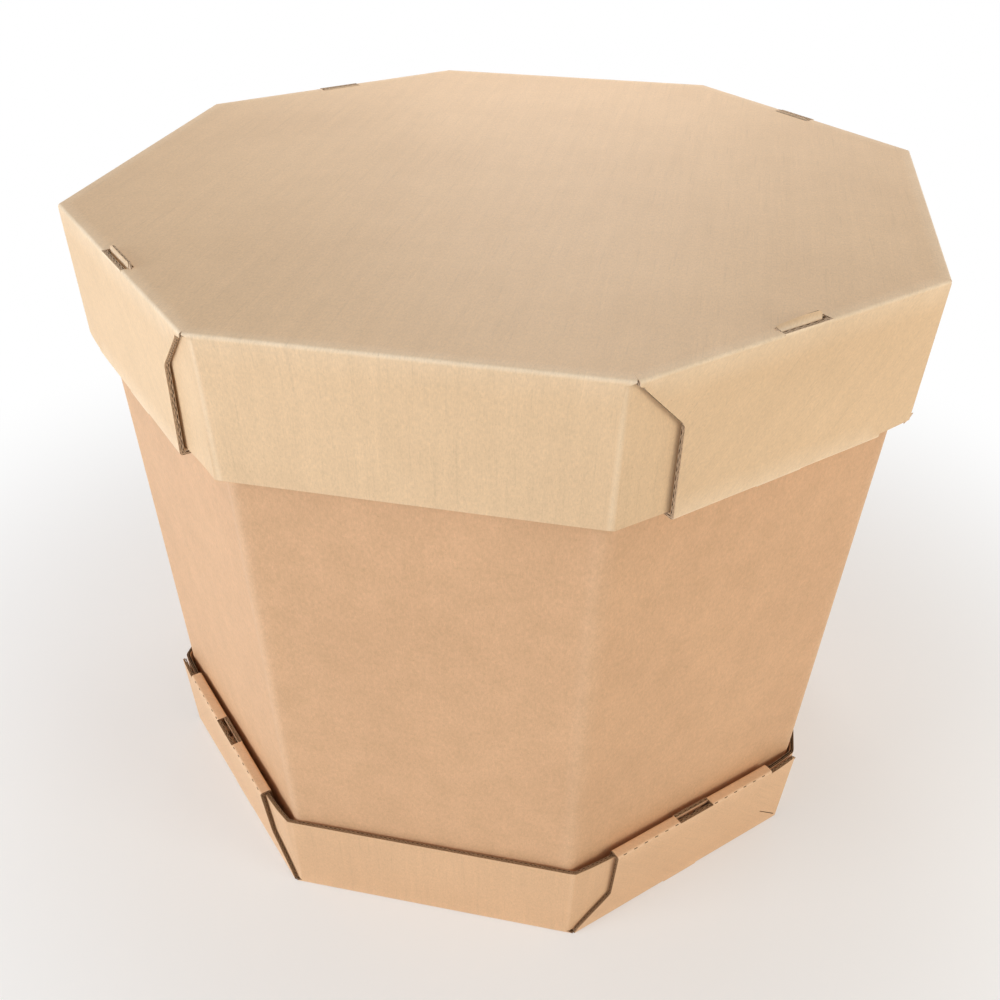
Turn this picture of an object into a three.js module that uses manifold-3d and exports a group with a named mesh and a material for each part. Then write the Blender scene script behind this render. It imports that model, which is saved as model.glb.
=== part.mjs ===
// Octagonal corrugated bulk box: a sleeve that stands in a base tray, under a lift-off lid.
// Millimetres, +Z up, front towards -Y. The origin is the middle of the tray's underside.
import * as THREE from 'three';
import { mergeVertices } from 'three/addons/utils/BufferGeometryUtils.js';
import Module from 'manifold-3d';

const wasm = await Module();
wasm.setup();

// Sleeve: one thick sheet, creased eight times and glued into a tube
const sleeveAcrossX = 1128; // between the left and right faces
const sleeveAcrossY = 1164; // between the front and back faces
const sleeveAcrossDiagonal = 1143; // between two opposite corner faces
const sleeveHeight = 995;
const sleeveBoard = 14; // three flutes between four liners
const sleeveCreaseRadius = 24; // outside radius of an upright crease
const lapWidth = 70; // glue lap inside the sleeve's one joint
const jointGap = 4; // between the sheet's end and the crease that it meets

// Lid and tray: two octagonal caps, each folded from one sheet
const capBoard = 6.3; // two flutes between three liners
const lidWall = 182; // height of the lid's single walls
const trayWall = 167; // height of the tray's single walls
const lidStraightGap = 10; // air between a single wall and the sleeve
const trayStraightGap = 4;
const lidCornerGap = 4.5; // air between a double wall and the sleeve, at the panel
const trayCornerGap = 1.2;
const lidFlare = 8; // how far the middle of a double wall's rim leans out
const trayFlare = 8;
const layerGap = 0.4; // between two layers of a double wall
const foldRadius = 4.5; // outside radius of a fold
const creaseRadius = 9; // outside radius of the crease between a single wall and its flap
const freeEndInset = 68; // a double wall's end, from the front or back corner
const cornerInset = 62; // its rolled-over part's end, from the left or right corner
const flapGap = 12; // between the ends of the two flaps in a double wall
const sideFlapRise = 65; // lower edge of a side wall's flap, above the panel
const notchRise = 48; // cut in a front or back wall's flap that clears the locking tab
const rimSlotLength = 71; // slot in the middle of a rolled-over rim
const tabLength = 69; // locking tab on the inner layer's lower edge
const tabSlack = 2; // free length at each end of the tab
const tabSlotDepth = 16; // the tab slot's inner side, from the fold line
const tabRise = 40; // height over which the tab leans out to its slot
const seat = 0.3; // between two pieces that rest on each other
const arcSteps = 4; // facets of a rounded fold
const cutMargin = 2; // how far a cutting solid runs past the surface it cuts

const sleeveColour = 0xc89c6c;
const lidColour = 0xd6b58c;
const trayColour = 0xdab48c;

// Corners of an octagon whose faces lie x, y and diagonal from its axis, from the front left one round
function octagon({ x, y, diagonal }) {
  const front = diagonal * Math.SQRT2 - y;
  const side = diagonal * Math.SQRT2 - x;
  return [
    [-front, -y], [front, -y], [x, -side], [x, side],
    [front, y], [-front, y], [-x, side], [-x, -side],
  ].map(([px, py]) => new THREE.Vector2(px, py));
}

// The same octagon, moved in by one depth on its straight faces and another on its diagonal ones
function movedIn(size, straight, diagonal) {
  return { x: size.x - straight, y: size.y - straight, diagonal: size.diagonal - diagonal };
}

// Arc that rounds the corner between two straight runs of an outline
function arc(before, corner, after, radius) {
  const back = before.clone().sub(corner).normalize();
  const ahead = after.clone().sub(corner).normalize();
  const half = Math.acos(back.dot(ahead)) / 2;
  const middle = back.clone().add(ahead).normalize();
  const centre = corner.clone().addScaledVector(middle, radius / Math.sin(half));
  const start = corner.clone().addScaledVector(back, radius / Math.tan(half));
  const step = (Math.sign(ahead.cross(middle)) * (Math.PI - 2 * half)) / arcSteps;
  return Array.from({ length: arcSteps + 1 }, (_, k) => start.clone().rotateAround(centre, step * k));
}

function roundedAll(points, radius) {
  const n = points.length;
  return points.flatMap((corner, i) => arc(points[(i + n - 1) % n], corner, points[(i + 1) % n], radius));
}

// Frame of an octagon's side: x along it from its first corner, y inwards, z up
function sideOf(corners, i) {
  const start = corners[i % corners.length];
  const run = corners[(i + 1) % corners.length].clone().sub(start);
  const length = run.length();
  run.normalize();
  const matrix = new THREE.Matrix4().makeBasis(
    new THREE.Vector3(run.x, run.y, 0),
    new THREE.Vector3(-run.y, run.x, 0),
    new THREE.Vector3(0, 0, 1),
  ).setPosition(start.x, start.y, 0);
  return { matrix, length };
}

// Point on a side of an octagon, at a distance from the side's middle
function fromMiddle(corners, i, distance) {
  const { matrix, length } = sideOf(corners, i);
  const point = new THREE.Vector3(length / 2 + distance, 0, 0).applyMatrix4(matrix);
  return new THREE.Vector2(point.x, point.y);
}

function extrude(points, depth) {
  const outline = points.map((p) => (p.isVector2 ? p : new THREE.Vector2(...p)));
  return new THREE.ExtrudeGeometry(new THREE.Shape(outline), { depth, bevelEnabled: false });
}

// Board lying level: outline seen from above, from height z0 to z1
function level(points, z0, z1) {
  return extrude(points, z1 - z0).translate(0, 0, z0);
}

// Board standing on edge: outline along the wall and up, from depth u0 to u1 behind the wall's face
function upright(points, u0, u1) {
  return extrude(points, u1 - u0).rotateX(Math.PI / 2).translate(0, u1, 0);
}

// Section of depth and height, drawn out along the wall from v0 to v1
function along(points, v0, v1) {
  const turn = new THREE.Matrix4().makeBasis(
    new THREE.Vector3(0, 1, 0),
    new THREE.Vector3(0, 0, 1),
    new THREE.Vector3(1, 0, 0),
  );
  return extrude(points, v1 - v0).applyMatrix4(turn).translate(v0, 0, 0);
}

function block([v0, v1], [u0, u1], [z0, z1]) {
  return level([[v0, u0], [v1, u0], [v1, u1], [v0, u1]], z0, z1);
}

// What rounding takes off the edge at depth u and height z; su and sz point into the board
function foldCut(u, z, su, sz, v0, v1) {
  const curve = Array.from({ length: arcSteps + 1 }, (_, k) => {
    const angle = (Math.PI / 2) * (k / arcSteps);
    return [u + su * foldRadius * (1 - Math.sin(angle)), z + sz * foldRadius * (1 - Math.cos(angle))];
  });
  const outside = [
    [u - su * cutMargin, z + sz * foldRadius],
    [u - su * cutMargin, z - sz * cutMargin],
    [u + su * foldRadius, z - sz * cutMargin],
  ];
  return along([...curve, ...outside], v0, v1);
}

// Closed solid from a geometry, ready to be joined and cut
function solid(geometry, matrix = new THREE.Matrix4()) {
  geometry.applyMatrix4(matrix);
  geometry.deleteAttribute('normal');
  geometry.deleteAttribute('uv');
  const { attributes, index } = mergeVertices(geometry);
  return new wasm.Manifold(new wasm.Mesh({
    numProp: 3,
    vertProperties: attributes.position.array,
    triVerts: Uint32Array.from(index.array),
  }));
}

function join(solids) {
  return solids.reduce((sum, next) => sum.add(next));
}

function cut(body, solids) {
  return solids.reduce((left, next) => left.subtract(next), body);
}

function geometryOf(body, move = (point) => point) {
  const { vertProperties, triVerts } = body.getMesh();
  const geometry = new THREE.BufferGeometry();
  geometry.setAttribute('position', new THREE.BufferAttribute(vertProperties, 3));
  geometry.setIndex(new THREE.BufferAttribute(triVerts, 1));
  const { position } = geometry.attributes;
  const point = new THREE.Vector3();
  for (let i = 0; i < position.count; i += 1) {
    move(point.fromBufferAttribute(position, i));
    position.setXYZ(i, point.x, point.y, point.z);
  }
  geometry.computeVertexNormals();
  return geometry;
}

// Front, back, left or right wall of a cap, with the flap that goes on from each of its ends
function singleWall(outer, i, wall) {
  const corners = octagon(outer);
  const flapDepth = capBoard + layerGap;
  const face = octagon(movedIn(outer, 0, flapDepth));
  const back = octagon(movedIn(outer, capBoard, flapDepth + capBoard));
  const isSide = i % 4 === 2;
  const before = (i + corners.length - 1) % corners.length;
  const floor = capBoard + layerGap;
  const run = (ring) => [
    fromMiddle(ring, before, flapGap / 2),
    ring[i],
    ring[i + 1],
    fromMiddle(ring, i + 1, -flapGap / 2),
  ];
  const [tip, crease, nextCrease, nextTip] = run(face);
  const outside = [
    tip,
    ...arc(tip, crease, nextCrease, creaseRadius),
    ...arc(crease, nextCrease, nextTip, creaseRadius),
    nextTip,
  ];
  const strip = solid(level([...outside, ...run(back).reverse()], floor, wall));
  const foot = solid(level([crease, nextCrease, back[i + 1], back[i]], 0, floor + foldRadius));

  // Each flap's lower edge, as what is cut away below it
  const layer = [flapDepth - layerGap / 2, flapDepth + capBoard + layerGap / 2];
  const trims = [before, i + 1].map((side) => {
    const { matrix, length } = sideOf(corners, side);
    const fromWall = (v) => (side === before ? length - v : v);
    const clear = tabLength / 2 + 2 * tabSlack;
    const below = isSide
      ? [[flapDepth, floor], [flapDepth + sideFlapRise - floor, sideFlapRise], [length / 2, sideFlapRise]]
      : [[length / 2 - clear, floor], [length / 2 - clear, notchRise], [length / 2, notchRise]];
    const lowest = [[length / 2, floor - cutMargin], [below[0][0], floor - cutMargin]];
    return solid(upright([...below, ...lowest].map(([v, z]) => [fromWall(v), z]), ...layer), matrix);
  });
  return cut(strip, trims).add(foot);
}

// Diagonal wall of a cap: an outer layer, a rolled-over rim and an inner layer with its locking tab
function doubleWall(outer, i, wall) {
  const { matrix, length } = sideOf(octagon(outer), i);
  const startsAtFrontOrBack = i % 4 === 1;
  const fromFree = (v) => (startsAtFrontOrBack ? v : length - v);
  const layers = 3 * capBoard + 2 * layerGap;
  const floor = capBoard + layerGap;
  const rim = wall + layerGap + capBoard;
  const rolled = [freeEndInset, length - cornerInset];
  const rolledSpan = rolled.map(fromFree).sort((p, q) => p - q);
  const middle = length / 2;
  const tabSpan = [middle - tabLength / 2, middle + tabLength / 2];
  const slotSpan = [tabSpan[0] - tabSlack, tabSpan[1] + tabSlack];
  const rimSlotSpan = [middle - rimSlotLength / 2, middle + rimSlotLength / 2];
  const place = (geometry) => solid(geometry, matrix);

  const outerLayer = place(upright([
    [0, 0], [freeEndInset, freeEndInset], [freeEndInset, rim], [rolled[1], rim],
    [rolled[1], wall], [length, wall], [length, 0],
  ].map(([v, z]) => [fromFree(v), z]), 0, capBoard));
  const band = place(block(rolledSpan, [0, layers], [rim - capBoard, rim]));
  const innerLayer = place(upright([
    [rolled[0], floor], [slotSpan[0], floor], [slotSpan[0], tabRise], [slotSpan[1], tabRise],
    [slotSpan[1], floor], [rolled[1], floor], [rolled[1], rim], [rolled[0], rim],
  ].map(([v, z]) => [fromFree(v), z]), layers - capBoard, layers));
  const tabEnd = tabSlotDepth - layerGap;
  const tab = place(along([
    [tabEnd - capBoard, 0], [tabEnd, 0], [layers, tabRise], [layers, tabRise + capBoard],
    [layers - capBoard, tabRise + capBoard], [layers - capBoard, tabRise],
  ], ...tabSpan));

  const folds = [
    foldCut(0, rim, 1, -1, ...rolledSpan),
    foldCut(layers, rim, -1, -1, ...rolledSpan),
    foldCut(0, 0, 1, 1, -foldRadius / 2, slotSpan[0]),
    foldCut(0, 0, 1, 1, slotSpan[1], length + foldRadius / 2),
  ].map(place);
  const rimSlot = place(block(
    rimSlotSpan,
    [-cutMargin, layers + cutMargin],
    [rim - capBoard, rim + cutMargin],
  ));
  const tabSlot = place(block(slotSpan, [capBoard, tabSlotDepth], [-cutMargin, floor]));
  return { sheet: cut(join([outerLayer, band, innerLayer]), [rimSlot]), tab, folds, tabSlot };
}

// A folded cap that opens upwards, with its panel's outer face at height 0
function cap({ straightGap, cornerGap, wall, flare }) {
  const layers = 3 * capBoard + 2 * layerGap;
  const outer = {
    x: sleeveAcrossX / 2 + straightGap + capBoard,
    y: sleeveAcrossY / 2 + straightGap + capBoard,
    diagonal: sleeveAcrossDiagonal / 2 + cornerGap + layers,
  };
  const corners = octagon(outer);
  const rim = wall + layerGap + capBoard;
  const singles = [0, 2, 4, 6].map((i) => singleWall(outer, i, wall));
  const doubles = [1, 3, 5, 7].map((i) => doubleWall(outer, i, wall));
  const straightFolds = [0, 2, 4, 6].map((i) => {
    const { matrix, length } = sideOf(corners, i);
    return solid(foldCut(0, 0, 1, 1, -foldRadius / 2, length + foldRadius / 2), matrix);
  });
  const panel = cut(solid(level(corners, 0, capBoard)), doubles.map((d) => d.tabSlot));
  const sheet = join([panel, ...singles, ...doubles.map((d) => d.sheet)]);
  const folded = cut(sheet, [...straightFolds, ...doubles.flatMap((d) => d.folds)]);
  const body = join([folded, ...doubles.map((d) => d.tab)]);

  // The double walls lean out towards the middle of their rims
  const ramp = sideOf(corners, 1).length / 2 - rimSlotLength / 2;
  return geometryOf(body, (point) => {
    const over = new THREE.Vector2(Math.abs(point.x), Math.abs(point.y));
    const fromFront = (over.x - corners[4].x - over.y + corners[4].y) * Math.SQRT1_2;
    const fromEnd = Math.min(fromFront, sideOf(corners, 1).length - fromFront);
    const share = THREE.MathUtils.clamp(fromEnd / ramp, 0, 1);
    const isInWall = point.z > capBoard ? 1 : 0;
    const lean = isInWall * flare * share * (point.z / rim) * Math.SQRT1_2;
    point.x += Math.sign(point.x) * lean;
    point.y += Math.sign(point.y) * lean;
  });
}

// The tube with its rounded creases, and at the back left one the glued joint
function sleeve() {
  const outer = { x: sleeveAcrossX / 2, y: sleeveAcrossY / 2, diagonal: sleeveAcrossDiagonal / 2 };
  const inner = movedIn(outer, sleeveBoard, sleeveBoard);
  const tube = solid(level(roundedAll(octagon(outer), sleeveCreaseRadius), 0, sleeveHeight));
  const hollow = level(
    roundedAll(octagon(inner), sleeveCreaseRadius - sleeveBoard),
    -cutMargin,
    sleeveHeight + cutMargin,
  );
  const { matrix } = sideOf(octagon(outer), 5);
  const joint = sleeveCreaseRadius * Math.tan(Math.PI / 8);
  const lapEnd = joint + lapWidth;
  const lap = level([
    [0, sleeveBoard / 2], [lapEnd, sleeveBoard / 2], [lapEnd, 2 * sleeveBoard],
    [joint, 2 * sleeveBoard], [0, sleeveBoard],
  ], 0, sleeveHeight);
  const gap = block(
    [joint, joint + jointGap],
    [-cutMargin, sleeveBoard],
    [-cutMargin, sleeveHeight + cutMargin],
  );
  const glued = tube.subtract(solid(hollow)).add(solid(lap, matrix));
  return geometryOf(glued.subtract(solid(gap, matrix)));
}

function piece(name, geometry, colour) {
  const material = new THREE.MeshStandardMaterial({
    color: colour,
    roughness: 0.85,
    metalness: 0,
    flatShading: true,
  });
  const mesh = new THREE.Mesh(geometry, material);
  mesh.name = name;
  return mesh;
}

const baseTray = piece('base_tray', cap({
  straightGap: trayStraightGap,
  cornerGap: trayCornerGap,
  wall: trayWall,
  flare: trayFlare,
}), trayColour);

const tube = piece('sleeve', sleeve(), sleeveColour);
tube.position.z = capBoard + seat;

const lid = piece('lid', cap({
  straightGap: lidStraightGap,
  cornerGap: lidCornerGap,
  wall: lidWall,
  flare: lidFlare,
}), lidColour);
lid.rotation.x = Math.PI;
lid.position.z = tube.position.z + sleeveHeight + seat + capBoard;

const bulkBox = new THREE.Group();
bulkBox.add(baseTray, tube, lid);

export default bulkBox;
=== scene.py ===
"""Looks for an octagonal corrugated bulk box: a base tray, a thick sleeve and a lift-off lid.

The boards are built as what they are: liners with fluted paper between them, cut to a flat outline
and folded. An outline is in millimetres, along the fold line (a) and away from it (b), and n is the
depth below the outer face. Folded, a point lies at v along its side, u behind its outer face and z up.
"""
import math
from typing import NamedTuple

import bpy
import numpy as np
from mathutils import Matrix, Vector
from mathutils.geometry import delaunay_2d_cdt

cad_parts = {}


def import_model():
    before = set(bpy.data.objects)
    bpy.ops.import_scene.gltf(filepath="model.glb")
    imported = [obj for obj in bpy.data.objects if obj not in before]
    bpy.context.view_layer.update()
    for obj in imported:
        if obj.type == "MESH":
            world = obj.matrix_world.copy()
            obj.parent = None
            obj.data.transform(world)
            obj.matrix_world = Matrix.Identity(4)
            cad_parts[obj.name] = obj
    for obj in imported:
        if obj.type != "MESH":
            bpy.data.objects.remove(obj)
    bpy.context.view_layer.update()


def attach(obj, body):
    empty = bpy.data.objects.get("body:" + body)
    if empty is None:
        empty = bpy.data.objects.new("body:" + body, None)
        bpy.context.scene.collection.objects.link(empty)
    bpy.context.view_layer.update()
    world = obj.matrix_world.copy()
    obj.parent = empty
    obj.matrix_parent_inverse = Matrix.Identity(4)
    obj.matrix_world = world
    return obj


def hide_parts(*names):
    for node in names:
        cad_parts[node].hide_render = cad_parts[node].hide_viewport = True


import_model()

MM = 0.001
ROOT_HALF = math.sqrt(0.5)
TINY = 0.01  # slack when points are sorted by the side of a line they lie on

# The same sizes as the CAD model, in millimetres
SLEEVE = (564.0, 582.0, 571.5)  # from the axis to the side, front and corner faces
SLEEVE_Z = (6.6, 1001.6)
SLEEVE_BOARD = 14.0
TRAY = (574.3, 592.3, 592.4)
TRAY_WALL = 167.0
LID = (580.3, 598.3, 595.7)
LID_WALL = 182.0
LID_TOP = 1008.2
BOARD = 6.3
LAYER_GAP = 0.4
LAYERS = 3 * BOARD + 2 * LAYER_GAP
FREE_INSET = 68.0
CORNER_INSET = 62.0
FLAP_GAP = 12.0
SIDE_FLAP_RISE = 65.0
NOTCH_RISE = 48.0
TAB_HALF = 34.5
TAB_SLACK = 2.0
TAB_SLOT_DEPTH = 17.4
TAB_RISE = 40.0
RIM_SLOT_HALF = 35.5

# Board: liners, flutes and folds
KRAFT, CUT, FLUTE, PAINTED_SHADE = range(4)  # materials of a board; the last, dark paper inside it, is painted shade in its hollows
LINER = 0.7
MIDDLE_LINER = 0.42 * BOARD  # depth of the liner between the two rows of flutes
CORE_INSET = 6.0  # from a cut edge to the dark core, painted shade behind its flutes
CORE_OVERLAP = 0.1
FLUTE_PITCHES = (6.4, 7.9)
FLUTE_PHASE = 1.7
FLUTE_SHEET = 1.0
FLUTE_STEPS = 6  # points to a flute
FLUTE_DEPTH = 7.0  # how far the fluted paper reaches in from a cut edge
FLUTE_RETREAT = 0.15  # from the cut edge to the fluted paper
LEAST_ACROSS = 0.3  # a cut that runs more nearly along the flutes than this shows none
WASHBOARD_PITCH = 7.4
FOLD = 4.5  # outside radius of a fold
FOLD_SHARES = (-1, -0.7, -0.4, -0.15, 0.15, 0.4, 0.7, 1)
FOLD_CREEP = 0.03  # keeps the points of a fold's inner face apart
FOLD_WEAR_AND_HIGHLIGHT = 7.0  # half the width of the paler paper and painted highlight along a fold
SHARP_ANGLE = math.radians(32)

# Panel and walls of a cap
STRIP = 20.0  # part of the panel that is made with each wall
MITRE = STRIP * math.tan(math.pi / 8)
FLOOR = BOARD + LAYER_GAP  # height at which the flaps and the inner layers stand
PANEL_GRID = 120.0
WALL_GRID = 30.0
SINGLE_RISE_GRID = 32.0
INNER_RISE_GRID = 40.0
LEAN_AHEAD = 10.0  # how far beyond the corners the lean starts to grow
LEAN_GROWTH = (85.0, 95.0)  # length over which it grows, from the wall's free and other corner
LEAN_TOP = 1.2  # the most that the lean grows, above the rim

# Single walls and their flaps
CREASE = 12.0  # half the width of the crease between a wall and its flap
CREASE_SHARES = (-1, -0.7, -0.4, -0.1, 0.2, 0.5, 0.75, 1)
# How pale a crease gets: paler creased paper with a painted highlight
CREASE_WEAR_AND_HIGHLIGHT = 0.4
BEND = 5.0  # how far from the corner the crease's bend starts and ends
WARP_FROM, WARP_OVER = 1.0, 30.0  # heights over which a wall leaves its straight fold line
PLAN_STEP = 0.5
FLAP_LOW = FOLD + 1.5  # height of a flap's lower edge beside its crease
FLAP_PLAY = 0.2  # between the diagonal wall's outer layer and a flap that the inner layer holds
FLAP_LOOSE = (0.6, 1.8)  # further play beside the corner: at the floor, and what the rim adds to it
HELD_FROM, HELD_OVER = 62.0, 55.0  # where that play starts to go and the length over which it goes
BOW_RISE = 30.0  # from the corner to where a hanging flap is bowed most
BOW_FROM, BOW_OVER = 74.0, 28.0  # where the bow starts to go and the length over which it goes
# Cut under a flap: how far each point lies inside the wall's corner, and its height
RELIEF = ((MITRE, -STRIP), (2.0, -FOLD), (1.5, 1.5), (CREASE - 4.0, FLAP_LOW - 0.3), (CREASE, FLAP_LOW))
FLAP_SLOPE = 10.0
SIDE_CHAMFER = 8.0
NOTCH_CHAMFER = 6.0
TIP_CHAMFER = 4.0
TOP_CHAMFER = 3.0
RAW_SLACK = 0.1

# Diagonal walls, with their slits and locking tabs
FOLD_GAP = 2.0  # from a wall's fold to its corner
CORNER_GAP = 1.0  # from the outer layer's upright edge to the side corner
ROLL_END = 4.0  # how far past the rim the inner layer's edges still show
INNER_TAPER = 2.0
# Lower corner of the free end: how far each point lies before the end, and its height
FREE_CORNER = ((0.0, FREE_INSET + 3.0), (4.0, FREE_INSET - 3.0), (60.0, 12.5), (62.0, 9.0))
FREE_FOOT = (3.0, 7.0)
WINDOW_DROP = 1.5  # how far the rim's window reaches down the outer layer
SLOT_MARGIN = 1.5  # from a slot to the grid lines beside it
SLIT_PITCH = 21.5
SLIT_START = 11.0
SLIT_LENGTH = 6.5
SLIT_HALF = 0.9
SLIT_CLEAR = 4.0
NICK = ((410.0, 53.0), (457.0, 12.2), (458.4, 13.8), (411.0, 54.2))
TAB_PLAY = 0.5
TAB_TOP = TAB_RISE + 14.0
TAB_RAW = 12.0  # height up to which a tab's cut edges have flutes
TAB_ROUND = 4.0
TAB_BEVEL = 1.0
TAB_BEND = 2.5  # length over which the end that stands out bends
CRUSH_FROM, CRUSH_OVER = 1.0, 14.0  # heights over which a crushed tab regains its thickness
TAB_GRID = (12.0, 2.0, 9.0)  # along the tab, up its end that stands out, and up the rest

# Sleeve
SLEEVE_RADIUS = 24.0
SLEEVE_LAP = 74.0
SLEEVE_SEAM = 4.0  # from the crease at the glued joint to the sheet's outer edge
LAP_PLAY = 0.6
LAP_FROM, LAP_OVER = -22.0, 26.0  # where the sheet starts to step in for the lap, and over what length
SWELL = 1.6  # how far a crease stands out
SWELL_WIDTH = 14.0
# How pale the sleeve's creases get, and over what width: paler creased paper with a painted highlight
SLEEVE_WEAR_AND_HIGHLIGHT, SLEEVE_HIGHLIGHT_WIDTH = 0.5, 20.0
SLEEVE_MIDDLES = (4.8, 9.0)  # depths of the liners between the rows of flutes
SLEEVE_MIDDLE_HALF = 0.3
SLEEVE_MIDDLE_RISE = 9.0  # how far those liners reach in from the raw edges
SLEEVE_CORE_INSET = 7.0
SLEEVE_FLUTE_DEPTH = 8.0
SLEEVE_PITCHES = (7.9, 7.9, 6.4)
SLEEVE_PHASE = 2.1
SLEEVE_GRID = (90.0, 170.0)
TURN_STEPS = 9
BESIDE_TURN = (-32, -22, -15, 15, 22, 32)
BESIDE_LAP = (-22, -18, -14, -10, -5, 0, 4)

# Floor, background and camera, in metres
FLOOR_HALF = 30.0
FLOOR_DROP = 0.0005
SHADE_REACH = (0.75, 1.9)  # distances between which the floor passes into the white background
NEAR_WHITE = 0.28
SKY = (1.0, 0.965, 0.93, 1.0)
SKY_STRENGTH = 0.49
CAMERA_PLACE = (0.28454, -1.50991, 1.46910)
CAMERA_ANGLES = (-12.095, 42.35, 0.393)  # yaw, downward pitch and roll, in degrees
CAMERA_FOCAL = 0.98998  # share of the picture's width
CAMERA_SHIFT = (0.01645, 0.15)
SENSOR = 36.0


def smooth(x):
    x = np.clip(x, 0.0, 1.0)
    return x * x * (3 - 2 * x)


def ease(x):
    x = np.clip(x, 0.0, 1.0)
    return x * (2 - x)


def octagon(size):
    """Corners, anticlockwise from the left end of the front side."""
    x, y, diagonal = size
    front = diagonal * math.sqrt(2) - y
    side = diagonal * math.sqrt(2) - x
    return np.array([
        (-front, -y), (front, -y), (x, -side), (x, side),
        (front, y), (-front, y), (-x, side), (-x, -side),
    ])


def side_frame(size, i):
    """Start, unit run and inward normal of an octagon's side, and its length."""
    corners = octagon(size)
    start = corners[i % 8]
    run = corners[(i + 1) % 8] - start
    length = float(np.hypot(*run))
    run = run / length
    return start, run, np.array([-run[1], run[0]]), length


def rectangle(a0, a1, b0, b1):
    return [(a0, b0), (a1, b0), (a1, b1), (a0, b1)]


def ticks(low, high, step, keep=()):
    """Grid values from low to high that include those in keep, at most a step apart."""
    marks = sorted({low, high, *[k for k in keep if low < k < high]})
    values = []
    for p, q in zip(marks, marks[1:]):
        count = max(1, math.ceil((q - p) / step - 1e-6))
        values.extend(p + (q - p) * k / count for k in range(count))
    return [*values, high]


def inside(points, rings):
    """Even-odd test of points against closed rings."""
    odd = np.zeros(len(points), bool)
    px, py = points[:, 0], points[:, 1]
    for ring in rings:
        for (ax, ay), (bx, by) in zip(ring, np.roll(ring, -1, axis=0)):
            if ay == by:
                continue
            crosses = (ay > py) != (by > py)
            at = ax + (py - ay) * (bx - ax) / (by - ay)
            odd ^= crosses & (px < at)
    return odd


def area(ring):
    x, y = ring[:, 0], ring[:, 1]
    return 0.5 * float(np.sum(x * np.roll(y, -1) - np.roll(x, -1) * y))


def turned(rings):
    """The first ring runs anticlockwise and the holes clockwise, so the board is left of each edge."""
    arrays = [np.array(ring, float) for ring in rings]
    return [ring if (area(ring) > 0) == (k == 0) else ring[::-1] for k, ring in enumerate(arrays)]


def moved_in(ring, depth):
    """The ring with each edge moved into the board by depth."""
    before = ring - np.roll(ring, 1, axis=0)
    after = np.roll(ring, -1, axis=0) - ring
    before /= np.linalg.norm(before, axis=1, keepdims=True)
    after /= np.linalg.norm(after, axis=1, keepdims=True)
    left_before = np.stack([-before[:, 1], before[:, 0]], 1)
    left_after = np.stack([-after[:, 1], after[:, 0]], 1)
    middle = left_before + left_after
    sharpest = 0.3  # keeps the sharpest corners from moving far
    scale = depth / np.maximum(sharpest, np.sum(middle * left_before, axis=1, keepdims=True))
    return ring + middle * scale


def cells(rings, a_marks, b_marks):
    """Triangles that fill the rings, split along the grid lines a = const and b = const."""
    points, edges = [], []
    for ring in rings:
        first = len(points)
        points.extend(map(tuple, ring))
        edges.extend((first + k, first + (k + 1) % len(ring)) for k in range(len(ring)))
    every = np.concatenate(rings)
    margin, tolerance = 1.0, 1e-4
    (a0, b0), (a1, b1) = every.min(0) - margin, every.max(0) + margin
    lines = [((a, b0), (a, b1)) for a in a_marks if a0 < a < a1]
    lines += [((a0, b), (a1, b)) for b in b_marks if b0 < b < b1]
    for line in lines:
        edges.append((len(points), len(points) + 1))
        points.extend(line)
    found, _, faces, *_ = delaunay_2d_cdt(points, edges, [], 0, tolerance)
    found = np.array(found)
    faces = np.array(faces)
    return found, faces[inside(found[faces].mean(1), rings)]


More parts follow.
